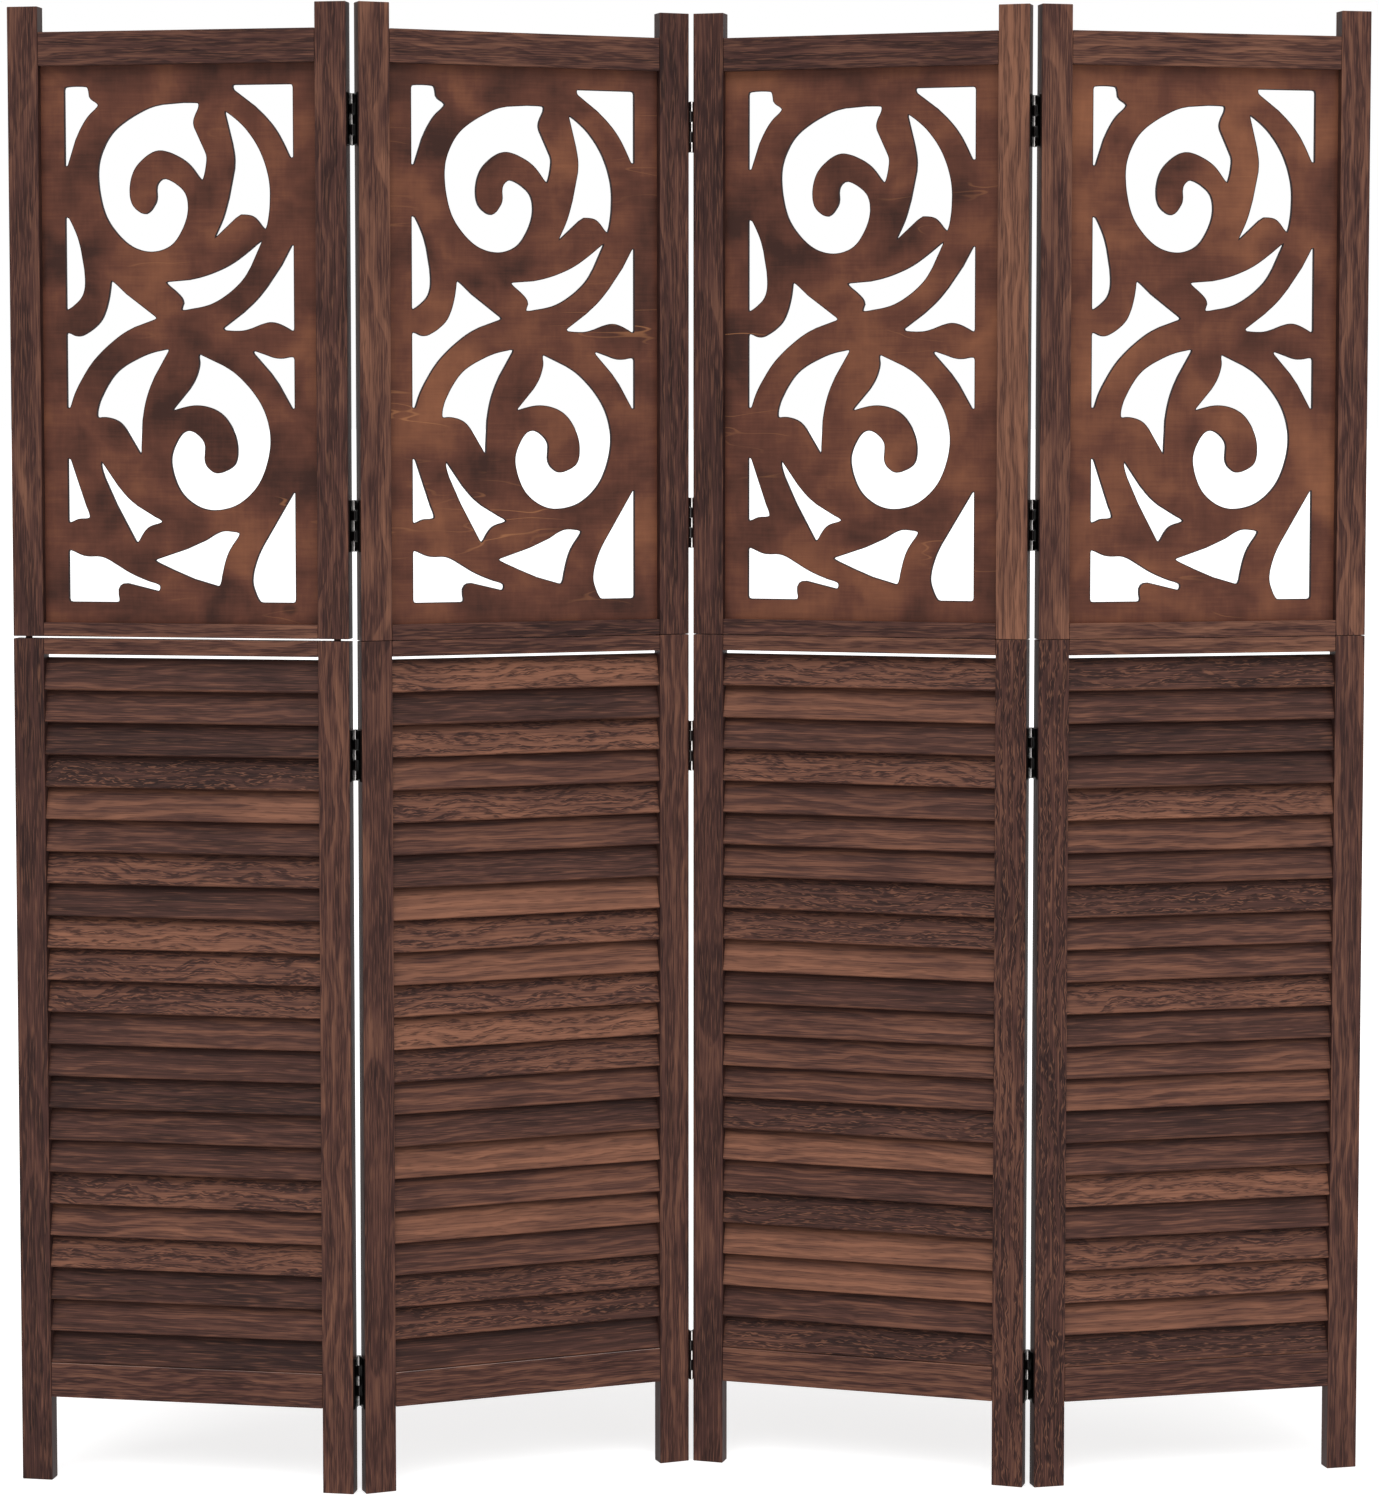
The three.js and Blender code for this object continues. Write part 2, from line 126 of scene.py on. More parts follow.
def block(name, low, high):
    middle = [(a + b) / 2 for a, b in zip(low, high)]
    sizes = [b - a for a, b in zip(low, high)]
    bpy.ops.mesh.primitive_cube_add(size=1, location=middle, scale=sizes)
    piece = bpy.context.object
    piece.name = name
    only(piece)
    bpy.ops.object.transform_apply(location=True, rotation=True, scale=True)
    return piece


def rod(radius, length, place, edge, facets=28):
    # an upright round rod with eased ends
    bpy.ops.mesh.primitive_cylinder_add(vertices=facets, radius=radius, depth=length, location=place)
    piece = bpy.context.object
    bpy.ops.object.transform_apply(location=True, rotation=True, scale=True)
    roundEdges(piece, edge, 2, 50)
    return piece


def roundEdges(piece, width, segments=2, angle=30):
    only(piece)
    rounding = piece.modifiers.new("roundedEdges", "BEVEL")
    rounding.width = width
    rounding.segments = segments
    rounding.limit_method = "ANGLE"
    rounding.angle_limit = math.radians(angle)
    bpy.ops.object.modifier_apply(modifier=rounding.name)


# where in its log a board was cut, in metres along it, across it and out from the pith
sawing = {
    "along": (-5, 5),
    "across": (-0.03, 0.03),
    "out": (0.010, 0.055),
    "growth": (0.85, 1.2),  # how close the rings stand, as a share of the usual
}


def layGrain(piece, axes, tone, curl=0.3, rise=None):
    # lays the board's own coordinates on it: along the grain, across it and through it, with its shade, how
    # curly its figure is, and how high a point lies between its lower and upper edge
    piece.data.attributes.new("grain", "FLOAT_VECTOR", "POINT")
    piece.data.attributes.new("board", "FLOAT_VECTOR", "POINT")
    shift = Vector([chance.uniform(*sawing[way]) for way in ("along", "across", "out")])
    stretch = chance.uniform(*sawing["growth"])
    grain = piece.data.attributes["grain"].data
    boards = piece.data.attributes["board"].data
    for vertex in piece.data.vertices:
        along, across, through = (vertex.co[axis] for axis in axes)
        grain[vertex.index].vector = Vector((along, across * stretch, through * stretch)) + shift
        boards[vertex.index].vector = (tone, curl, rise(vertex.co) if rise else 0.5)


def dress(piece, number, material, slot, *nodes):
    piece.data.materials.clear()
    piece.data.materials.append(material)
    piece.data.transform(panelMatrix(number))
    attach(piece, f"panel_{number}")
    if nodes:
        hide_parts(*nodes)
    return piece


def copyOf(piece, name):
    twin = piece.copy()
    twin.data = piece.data.copy()
    twin.name = name
    bpy.context.scene.collection.objects.link(twin)
    return twin


def joinAll(pieces, name):
    bpy.ops.object.select_all(action="DESELECT")
    for piece in pieces:
        piece.select_set(True)
    bpy.context.view_layer.objects.active = pieces[0]
    bpy.ops.object.join()
    whole = bpy.context.object
    whole.name = name
    return whole


# materials
def group(name, inputs, outputs):
    tree = bpy.data.node_groups.new(name, "ShaderNodeTree")
    for label, kind, value in inputs:
        socket = tree.interface.new_socket(label, in_out="INPUT", socket_type=kind)
        if value is not None:
            socket.default_value = value
    for label, kind in outputs:
        tree.interface.new_socket(label, in_out="OUTPUT", socket_type=kind)
    return tree, tree.nodes.new("NodeGroupInput").outputs, tree.nodes.new("NodeGroupOutput").inputs


def feed(tree, socket, value):
    if isinstance(value, bpy.types.NodeSocket):
        tree.links.new(value, socket)
    elif value is not None:
        socket.default_value = value


def maths(tree, operation, first, second=0.0, third=0.0, clamp=False):
    node = tree.nodes.new("ShaderNodeMath")
    node.operation = operation
    node.use_clamp = clamp
    for socket, value in zip(node.inputs, (first, second, third)):
        feed(tree, socket, value)
    return node.outputs[0]


def vectorMaths(tree, operation, first, second=(0, 0, 0)):
    node = tree.nodes.new("ShaderNodeVectorMath")
    node.operation = operation
    feed(tree, node.inputs[0], first)
    feed(tree, node.inputs[1], second)
    return node.outputs["Value" if operation == "LENGTH" else "Vector"]


def noise(tree, place, stretch, detail=3.0, roughness=0.55, distortion=0.0):
    node = tree.nodes.new("ShaderNodeTexNoise")
    tree.links.new(vectorMaths(tree, "MULTIPLY", place, stretch), node.inputs["Vector"])
    node.inputs["Scale"].default_value = 1.0
    node.inputs["Detail"].default_value = detail
    node.inputs["Roughness"].default_value = roughness
    node.inputs["Distortion"].default_value = distortion
    return node.outputs["Fac"]


def swing(tree, value, amount):
    # a noise's 0 to 1 as this much in all, half of it up and half down
    return maths(tree, "MULTIPLY_ADD", value, amount, -amount / 2)


def both(tree, first, second):
    return maths(tree, "MULTIPLY", first, second)


def ramp(tree, value, stops):
    node = tree.nodes.new("ShaderNodeValToRGB")
    elements = node.color_ramp.elements
    while len(elements) < len(stops):
        elements.new(0.5)
    for element, (place, colour) in zip(elements, stops):
        element.position = place
        element.color = colour if isinstance(colour, tuple) else (colour, colour, colour, 1)
    tree.links.new(value, node.inputs["Fac"])
    return node.outputs["Color"]


def parts(tree, vector):
    # the three numbers of a vector
    node = tree.nodes.new("ShaderNodeSeparateXYZ")
    tree.links.new(vector, node.inputs[0])
    return node.outputs


def mix(tree, share, first, second):
    node = tree.nodes.new("ShaderNodeMix")
    node.data_type = "RGBA"
    feed(tree, node.inputs["Factor"], share)
    feed(tree, node.inputs[6], first)
    feed(tree, node.inputs[7], second)
    return node.outputs[2]


def spreadOver(tree, value, low, high):
    # 0 at one value and 1 at the other, held at both ends
    node = tree.nodes.new("ShaderNodeMapRange")
    feed(tree, node.inputs["Value"], value)
    feed(tree, node.inputs["From Min"], low)
    feed(tree, node.inputs["From Max"], high)
    return node.outputs["Result"]


# The figure of the wood. A pitch is how many times a pattern repeats in a metre along, across and through
# the board, and a share is how strongly it shows.
figure = {
    "wanderPitch": (10, 18, 18),
    "wander": 0.066,
    "leanPitch": 8.0,
    "lean": 0.012,
    "wavePitch": (115, 90, 90),
    "wave": 0.0060,
    "fibrePitch": 720.0,
    "fibreLength": (14.0, 85.0),  # its pitch along a straight board, and what the curliest has more
    "streakPitch": (6, 190, 190),
    "finePitch": (12, 620, 620),
    "porePitch": (55, 640, 640),
    "fleckPitch": (34, 560, 560),
    "stainPitch": (8, 22, 22),
    "streakShare": 0.6,
    "fineShare": 1.2,
    "stainShare": 0.34,
    "ringShare": 0.24,
    "grooveShare": 0.80,
    "glintShare": 0.55,
    "poreShare": 0.35,
    "fleckShare": 0.30,
    # how dark the painted shade goes where boards lap over and on the stiles' side faces
    "paintedShadeShare": 0.66,
    "rubShare": 0.5,
    # the colour of the painted highlight along the bottom rails' upper arrises
    "arrisHighlightColour": (176, 166, 162),
}


def timberGroup():
    tree, given, put = group(
        "timberFigure",
        [
            ("Grain", "NodeSocketVector", None),
            ("Board", "NodeSocketVector", None),
            ("Ring", "NodeSocketFloat", 0.011),
            ("Dark", "NodeSocketColor", (0.03, 0.02, 0.02, 1)),
            ("Body", "NodeSocketColor", (0.09, 0.04, 0.03, 1)),
            ("Light", "NodeSocketColor", (0.2, 0.08, 0.05, 1)),
        ],
        [("Color", "NodeSocketColor"), ("Roughness", "NodeSocketFloat"), ("Height", "NodeSocketFloat")],
    )
    grain, dark, light = given["Grain"], given["Dark"], given["Light"]
    tone, curl, rise = parts(tree, given["Board"])
    along, across, through = parts(tree, grain)
    # distance from the pith, which wanders and leans along the board
    wander = swing(tree, noise(tree, grain, figure["wanderPitch"], 1.5), figure["wander"])
    wander = both(tree, wander, maths(tree, "MULTIPLY_ADD", curl, 0.7, 0.3))
    lean = both(tree, maths(tree, "SINE", both(tree, along, figure["leanPitch"])), figure["lean"])
    section = tree.nodes.new("ShaderNodeCombineXYZ")
    tree.links.new(maths(tree, "ADD", across, wander), section.inputs[1])
    tree.links.new(maths(tree, "ADD", through, lean), section.inputs[2])
    radius = vectorMaths(tree, "LENGTH", section.outputs[0])
    ring = maths(tree, "FRACT", maths(tree, "DIVIDE", radius, given["Ring"]))
    porous = ramp(tree, ring, [(0.0, 0.0), (0.26, 0.05), (0.44, 0.9), (0.93, 1.0), (0.985, 0.0)])
    # coarse curling fibres that follow the rings
    wave = swing(tree, noise(tree, grain, figure["wavePitch"], 1), figure["wave"])
    bend = maths(tree, "MULTIPLY_ADD", wander, 0.4, wave)
    bend = both(tree, bend, both(tree, curl, curl))
    straight, curly = figure["fibreLength"]
    fibrePlace = tree.nodes.new("ShaderNodeCombineXYZ")
    shortness = maths(tree, "MULTIPLY_ADD", curl, curly, straight)
    tree.links.new(both(tree, along, shortness), fibrePlace.inputs[0])
    tree.links.new(both(tree, maths(tree, "ADD", across, bend), figure["fibrePitch"]), fibrePlace.inputs[1])
    tree.links.new(both(tree, through, figure["fibrePitch"]), fibrePlace.inputs[2])
    fibre = noise(tree, fibrePlace.outputs[0], (1, 1, 1), 0.5, 0.6)
    figured = maths(tree, "MULTIPLY", porous, maths(tree, "MULTIPLY_ADD", curl, 0.95, 0.05), clamp=True)
    grooves = both(tree, spreadOver(tree, fibre, 0.49, 0.40), figured)
    glints = both(tree, spreadOver(tree, fibre, 0.56, 0.64), figured)
    # long streaks, fine fibres, open pores and cloudy stain
    streak = noise(tree, grain, figure["streakPitch"], 2, 0.6)
    fine = noise(tree, grain, figure["finePitch"], 1, 0.7)
    pores = spreadOver(tree, noise(tree, grain, figure["porePitch"], 0), 0.60, 0.74)
    flecks = spreadOver(tree, noise(tree, grain, figure["fleckPitch"], 0), 0.62, 0.78)
    stain = spreadOver(tree, noise(tree, grain, figure["stainPitch"], 3, 0.55, 0.4), 0.36, 0.72)
    # how pale the wood is, round the board's own shade
    shade = maths(tree, "SUBTRACT", tone, maths(tree, "MULTIPLY_ADD", stain, figure["stainShare"], -0.12))
    lively = maths(tree, "MULTIPLY_ADD", curl, 0.5, 0.5)
    streaks, fibres = swing(tree, streak, figure["streakShare"]), swing(tree, fine, figure["fineShare"])
    shade = maths(tree, "ADD", shade, both(tree, maths(tree, "ADD", streaks, fibres), lively))
    shade = maths(tree, "SUBTRACT", shade, maths(tree, "MULTIPLY_ADD", porous, figure["ringShare"], -0.14))
    body = mix(tree, spreadOver(tree, shade, 0.0, 0.55), dark, given["Body"])
    body = mix(tree, spreadOver(tree, shade, 0.5, 1.15), body, light)
    body = mix(tree, both(tree, grooves, figure["grooveShare"]), body, dark)
    body = mix(tree, both(tree, glints, figure["glintShare"]), body, light)
    body = mix(tree, both(tree, pores, figure["poreShare"]), body, dark)
    body = mix(tree, both(tree, flecks, figure["fleckShare"]), body, light)
    # painted shade where the next board laps over and on the stiles' side faces, and rubbed lower edges
    paintedShade = spreadOver(tree, rise, 0.76, 0.97)
    body = mix(tree, both(tree, paintedShade, figure["paintedShadeShare"]), body, dark)
    rub = both(tree, spreadOver(tree, rise, 0.10, 0.0), spreadOver(tree, stain, 0.6, 0.1))
    body = mix(tree, both(tree, rub, figure["rubShare"]), body, light)
    # a painted highlight in pale grey along the bottom rail's upper arris
    body = mix(tree, spreadOver(tree, rise, -0.1, -1.0), body, linear(*figure["arrisHighlightColour"]))
    tree.links.new(body, put["Color"])
    tree.links.new(maths(tree, "MULTIPLY_ADD", streak, 0.25, 0.38), put["Roughness"])
    height = maths(tree, "MULTIPLY_ADD", grooves, -0.7, both(tree, fine, 0.6))
    tree.links.new(maths(tree, "MULTIPLY_ADD", pores, -0.5, height), put["Height"])
    return tree


timberFigure = timberGroup()


def surface(name):
    material = bpy.data.materials.new(name)
    material.use_nodes = True
    tree = material.node_tree
    return material, tree, tree.nodes["Principled BSDF"]


def attribute(tree, name, output):
    node = tree.nodes.new("ShaderNodeAttribute")
    node.attribute_name = name
    return node.outputs[output]


def bumpOn(tree, shader, height, strength, distance):
    node = tree.nodes.new("ShaderNodeBump")
    node.inputs["Strength"].default_value = strength
    node.inputs["Distance"].default_value = distance
    tree.links.new(height, node.inputs["Height"])
    tree.links.new(node.outputs["Normal"], shader.inputs["Normal"])


def timber(name, look):
    material, tree, shader = surface(name)
    node = tree.nodes.new("ShaderNodeGroup")
    node.node_tree = timberFigure
    tree.links.new(attribute(tree, "grain", "Vector"), node.inputs["Grain"])
    tree.links.new(attribute(tree, "board", "Vector"), node.inputs["Board"])
    node.inputs["Ring"].default_value = look["ring"]
    node.inputs["Dark"].default_value = linear(*look["dark"])
    node.inputs["Body"].default_value = linear(*look["body"])
    node.inputs["Light"].default_value = linear(*look["light"])
    tree.links.new(node.outputs["Color"], shader.inputs["Base Color"])
    tree.links.new(node.outputs["Roughness"], shader.inputs["Roughness"])
    shader.inputs["Specular IOR Level"].default_value = look["shine"]
    bumpOn(tree, shader, node.outputs["Height"], look["relief"], look["reliefDepth"])
    return material


frameWoodLook = {
    "ring": 0.014,  # metres between growth rings
    "dark": (39, 24, 23),
    "body": (80, 52, 46),
    "light": (142, 98, 77),
    "shine": 0.12,
    "relief": 0.3,
    "reliefDepth": 0.0006,
}
slatWoodLook = {
    "ring": 0.013,
    "dark": (43, 26, 23),
    "body": (80, 52, 45),
    "light": (142, 96, 75),
    "shine": 0.12,
    "relief": 0.3,
    "reliefDepth": 0.0006,
}
frameWood = timber("frameWood", frameWoodLook)
slatWood = timber("slatWood", slatWoodLook)

# pitches are again in turns per metre along, across and through the sheet
sheetLook = {
    "dark": (60, 37, 31),
    "body": (97, 59, 47),
    "light": (143, 92, 66),
    "crack": (176, 120, 82),
    "shine": 0.12,
    "cloudPitch": (16, 17, 17),
    "driftPitch": (6, 7, 7),
    "veneerPitch": (16, 420, 420),
    "ripplePitch": (240, 30, 240),
    "knotPitch": (9, 13, 13),
    "crackPitch": (5, 30, 30),
    "wornPitch": (6, 11, 11),
}


def sheetMaterial(look):
    material, tree, shader = surface("fretworkPly")
    grain = attribute(tree, "grain", "Vector")
    tone, wear = parts(tree, attribute(tree, "board", "Vector"))[:2]
    cloud = noise(tree, grain, look["cloudPitch"], 3, 0.5, 0.3)
    drift = noise(tree, grain, look["driftPitch"], 2, 0.5)
    veneer = noise(tree, grain, look["veneerPitch"], 3, 0.7)
    ripple = noise(tree, grain, look["ripplePitch"], 3, 0.6)
    shade = tone
    for pattern, amount in ((cloud, 1.5), (drift, 1.2), (veneer, 0.34), (ripple, 0.20)):
        shade = maths(tree, "ADD", shade, swing(tree, pattern, amount))
    colour = mix(tree, spreadOver(tree, shade, 0.1, 0.5), linear(*look["dark"]), linear(*look["body"]))
    colour = mix(tree, spreadOver(tree, shade, 0.5, 1.15), colour, linear(*look["light"]))
    # small knots, in a few of the cells only
    cells = tree.nodes.new("ShaderNodeTexVoronoi")
    tree.links.new(vectorMaths(tree, "MULTIPLY", grain, look["knotPitch"]), cells.inputs["Vector"])
    cells.inputs["Scale"].default_value = 1.0
    draw = tree.nodes.new("ShaderNodeSeparateColor")
    tree.links.new(cells.outputs["Color"], draw.inputs[0])
    drawn = spreadOver(tree, draw.outputs[0], 0.80, 0.86)
    knot = both(tree, spreadOver(tree, cells.outputs["Distance"], 0.10, 0.05), drawn)
    colour = mix(tree, both(tree, knot, 0.75), colour, linear(*look["dark"]))
    # hairline cracks in the face veneer, pale where the stain never reached
    line = maths(tree, "SUBTRACT", noise(tree, grain, look["crackPitch"], 2, 0.5), 0.5)
    crack = spreadOver(tree, maths(tree, "ABSOLUTE", line), 0.009, 0.003)
    start = maths(tree, "MULTIPLY_ADD", wear, -0.12, 0.66)
    patch = spreadOver(tree, noise(tree, grain, look["wornPitch"], 2, 0.5), start, 0.76)
    colour = mix(tree, both(tree, both(tree, crack, patch), 0.75), colour, linear(*look["crack"]))
    tree.links.new(colour, shader.inputs["Base Color"])
    tree.links.new(maths(tree, "MULTIPLY_ADD", cloud, 0.2, 0.34), shader.inputs["Roughness"])
    shader.inputs["Specular IOR Level"].default_value = look["shine"]
    bumpOn(tree, shader, maths(tree, "MULTIPLY_ADD", crack, -0.3, veneer), 0.12, 0.0003)
    return material


fretworkPly = sheetMaterial(sheetLook)


sawnLook = {
    "plyPitch": (40, 40, 900),
    "dark": (30, 19, 20),
    "body": (54, 38, 37),
    "roughness": 0.72,
    "shine": 0.25,
}


def sawnMaterial(look):
    # the sheet's cut walls: plies on edge under dark stain
    material, tree, shader = surface("sawnPly")
    plies = noise(tree, attribute(tree, "grain", "Vector"), look["plyPitch"], 2, 0.5)
    colour = ramp(tree, plies, [(0.35, linear(*look["dark"])), (0.7, linear(*look["body"]))])
    tree.links.new(colour, shader.inputs["Base Color"])
    shader.inputs["Roughness"].default_value = look["roughness"]
    shader.inputs["Specular IOR Level"].default_value = look["shine"]
    return material


sawnPly = sawnMaterial(sawnLook)

hingeLook = {
    "dark": (20, 17, 17),
    "body": (40, 34, 33),
    # the bright metal of rubbed parts and of the painted highlight line on the barrels
    "rubAndHighlight": (255, 250, 246),
    "spotPitch": (900, 900, 900),
    "pitPitch": (2600, 2600, 2600),
}


def hingeMaterial(look):
    # blackened steel, turned bright where it is rubbed and along the painted highlight line down the
    # barrels
    material, tree, shader = surface("hingeSteel")
    place = tree.nodes.new("ShaderNodeTexCoord").outputs["Object"]
    spots = noise(tree, place, look["spotPitch"], 4, 0.6)
    colour = ramp(tree, spots, [(0.4, linear(*look["dark"])), (0.8, linear(*look["body"]))])
    rubAndHighlight = attribute(tree, "rubAndHighlight", "Fac")
    colour = mix(tree, rubAndHighlight, colour, linear(*look["rubAndHighlight"]))
    tree.links.new(colour, shader.inputs["Base Color"])
    shader.inputs["Metallic"].default_value = 1.0
    rough = maths(tree, "MULTIPLY_ADD", spots, 0.25, 0.22)
    tree.links.new(maths(tree, "MULTIPLY_ADD", rubAndHighlight, -0.4, rough, clamp=True), shader.inputs["Roughness"])
    bumpOn(tree, shader, noise(tree, place, look["pitPitch"], 2), 0.1, 0.0002)
    return material


hingeSteel = hingeMaterial(hingeLook)
print("materials made")


# lower frames
lowerFrame = {
    "edge": 0.0007,  # rounding of the boards' arrises
    # each board's shade in panels 1 to 4, from 0 for the darkest to 1 for the palest
    "tones": {
        "lower_left_stile": (0.34, 0.48, 0.37, 0.34),
        "lower_right_stile": (0.50, 0.46, 0.43, 0.48),
        "middle_rail": (0.60, 0.46, 0.68, 0.74),
        "bottom_rail": (0.50, 0.54, 0.60, 0.40),
        "upper_left_stile": (0.46, 0.66, 0.36, 0.60),
        "upper_right_stile": (0.45, 0.40, 0.92, 0.62),
        "sill_rail": (0.60, 0.30, 0.46, 0.68),
        "top_rail": (0.38, 0.46, 0.38, 0.60),
    },
    "curly": {"lower_right_stile": (3,), "lower_left_stile": (4,)},  # the panels where this board is curly
    "curl": {False: 0.4, True: 0.9},
    "arrisHighlight": (0.7, 1.0, 0.35, 0.35),  # how strongly the painted highlight shows along the bottom rails' upper arrises
    "dowelRadius": 0.004,
    "dowelInset": 0.0155,
    "dowelHeight": 0.018,  # what stands over the lower frame
    "dowelRoot": 0.01,
    "dowelEdge": 0.0008,
    "dowelTone": 0.2,
}


def grainOfBoard(piece, axes, label, number):
    curly = number in lowerFrame["curly"].get(label, ())
    corners = [vertex.co for vertex in piece.data.vertices]
    left, right = min(point.x for point in corners), max(point.x for point in corners)
    top = max(point.z for point in corners)
    side, arris = lowerFrame["edge"] * 0.15, lowerFrame["edge"] * 0.45

    def rise(point):
        # painted shade makes the stiles' side faces nearly black, and a painted highlight runs along the
        # bottom rail's upper arris
        if "stile" in label:
            return 1.0 if min(point.x - left, right - point.x) < side else 0.5
        onArris = label == "bottom_rail" and point.z > top - arris and point.y < 2 * arris
        return -lowerFrame["arrisHighlight"][number - 1] if onArris else 0.5

    tone = lowerFrame["tones"][label][number - 1]
    layGrain(piece, axes, tone, lowerFrame["curl"][curly], rise=rise)


def lowerFrames(number):
    size, stile, deep = screen["panelWidth"], screen["stileWidth"], screen["frameDepth"]
    for side, left in (("left", 0.0), ("right", size - stile)):
        label = f"lower_{side}_stile"
        piece = block(f"{label}_{number}", (left, 0, 0), (left + stile, deep, screen["lowerTop"]))
        roundEdges(piece, lowerFrame["edge"])
        grainOfBoard(piece, (2, 0, 1), label, number)
        dress(piece, number, frameWood, "frame_wood", f"panel_{number}_louvre_stile_{side}")
    low, high = stile + screen["fit"], size - stile - screen["fit"]
    rails = [
        ("middle_rail", screen["middleRailLow"], screen["lowerTop"]),
        ("bottom_rail", screen["footHeight"], screen["bottomRailTop"]),
    ]
    for label, bottom, top in rails:
        piece = block(f"{label}_{number}", (low, 0, bottom), (high, deep, top))
        roundEdges(piece, lowerFrame["edge"])
        grainOfBoard(piece, (0, 2, 1), label, number)
        dress(piece, number, frameWood, "frame_wood", f"panel_{number}_{label}")
    dowels = []
    height, root = lowerFrame["dowelHeight"], lowerFrame["dowelRoot"]
    for middle in (lowerFrame["dowelInset"], size - lowerFrame["dowelInset"]):
        place = (middle, deep / 2, screen["lowerTop"] + (height - root) / 2)
        dowel = rod(lowerFrame["dowelRadius"], height + root, place, lowerFrame["dowelEdge"])
        layGrain(dowel, (2, 0, 1), lowerFrame["dowelTone"])
        dowels.append(dowel)
    dress(joinAll(dowels, f"dowels_{number}"), number, frameWood, "frame_wood")


for number in panelNumbers:
    lowerFrames(number)
print("lower frames built")


# louvre slats
slats = {
    "count": 22,
    "width": 0.0385,
    "thickness": 0.005,
    "tilt": 18,  # degrees from upright
    "setback": 0.0015,  # from the frame's front to the slat's lower front edge
    "footRise": 0.0007,
    "headroom": 0.0036,
    "housed": 0.0057,  # how far a slat's end stands in its stile
    "edge": 0.0011,
    "playDeep": 0.0003,  # how far a slat may sit out of line, from front to back and up and down
    "playUp": 0.00025,
    "panelTones": (-0.05, 0.08, 0.06, 0.01),  # what all the slats of panels 1 to 4 are paler by
    "plainTones": (0.42, 0.62),
    # rows counted from the top, in panels 1 to 4
    "darkRows": ((3, 4, 8, 14, 20, 22), (2, 7, 15, 21, 22), (8, 11, 15, 18, 22), (1, 3, 4, 8, 15, 22)),
    "darkTones": (0.20, 0.34),
    "paleRows": ((5, 9, 18, 19), (1, 8, 10, 12, 16, 18), (2, 10, 16, 19, 20), (5, 6, 14, 17, 20, 21)),
    "paleTones": (0.66, 0.84),
    "curlyRows": (
        (4, 7, 9, 10, 11, 17, 19),
        (1, 3, 5, 9, 11, 12, 13, 20, 21),
        (1, 4, 8, 9, 15, 18, 22),
        (1, 5, 8, 11, 17, 19, 20, 22),
    ),
    "curlyCurl": (0.8, 1.0),
    "plainCurl": (0.1, 0.3),
}


def slatFigure(number, row):
    # the shade and the curl of one slat
    fromTop = slats["count"] - row
    tones = "plainTones"
    if fromTop in slats["darkRows"][number - 1]:
        tones = "darkTones"
    if fromTop in slats["paleRows"][number - 1]:
        tones = "paleTones"
    curl = "curlyCurl" if fromTop in slats["curlyRows"][number - 1] else "plainCurl"
    tone = chance.uniform(*slats[tones]) + slats["panelTones"][number - 1]
    return tone, chance.uniform(*slats[curl])


def louvre(number):
    opening = screen["middleRailLow"] - screen["bottomRailTop"]
    step = (opening - slats["headroom"]) / slats["count"]
    left = screen["stileWidth"] - slats["housed"]
    right = screen["panelWidth"] - screen["stileWidth"] + slats["housed"]
    first = block("slat", (left, 0, 0), (right, slats["thickness"], slats["width"]))
    # leaned back over its lower front edge
    editFaces(first, lambda centre, normal: True)
    bpy.ops.transform.rotate(value=math.radians(slats["tilt"]), orient_axis="X", center_override=(0, 0, 0))
    bpy.ops.object.mode_set(mode="OBJECT")
    roundEdges(first, slats["edge"], 3)
    boards = []
    deep, up = slats["playDeep"], slats["playUp"]
    for row in range(slats["count"]):
        board = copyOf(first, f"slat_{number}_{row}")
        play = Vector((0, chance.uniform(-deep, deep), chance.uniform(-up, up)))
        lift = screen["bottomRailTop"] + slats["footRise"] + row * step
        board.data.transform(Matrix.Translation(Vector((0, slats["setback"], lift)) + play))
        if row == 0:  # planed level over its rail
            only(board)
            bpy.ops.object.mode_set(mode="EDIT")
            bpy.ops.mesh.select_all(action="SELECT")
            line = screen["bottomRailTop"] + screen["fit"]
            bpy.ops.mesh.bisect(plane_co=(0, 0, line), plane_no=(0, 0, 1), use_fill=True, clear_inner=True)
            bpy.ops.object.mode_set(mode="OBJECT")
        tone, curl = slatFigure(number, row)
        heights = [vertex.co.z for vertex in board.data.vertices]
        foot, top = min(heights), max(heights)
        layGrain(board, (0, 2, 1), tone, curl, rise=lambda point: (point.z - foot) / (top - foot))
        boards.append(board)
    bpy.data.objects.remove(first)
    whole = joinAll(boards, f"louvre_slats_{number}")
    dress(whole, number, slatWood, "louvre_wood", f"panel_{number}_louvre_stile_left")


for number in panelNumbers:
    louvre(number)
print("slats built")


# upper frames, with the groove that holds the sheet
def grooved(piece, axis, side, ends=None):
    # a groove pressed into one edge of a board, over its whole length or between two heights
    front, back = screen["grooveFront"], screen["grooveBack"]
    cutAcross(piece, [(0, front, 0), (0, back, 0)], (0, 1, 0))
    if ends:
        cutAcross(piece, [(0, 0, end) for end in ends], (0, 0, 1))

    def inGroove(centre, normal):
        inLine = normal[axis] * side > 0.9 and front < centre[1] < back
        return inLine and (not ends or ends[0] < centre[2] < ends[1])

    move = [0.0, 0.0, 0.0]
    move[axis] = -side * screen["grooveDepth"]
    push(piece, inGroove, move)


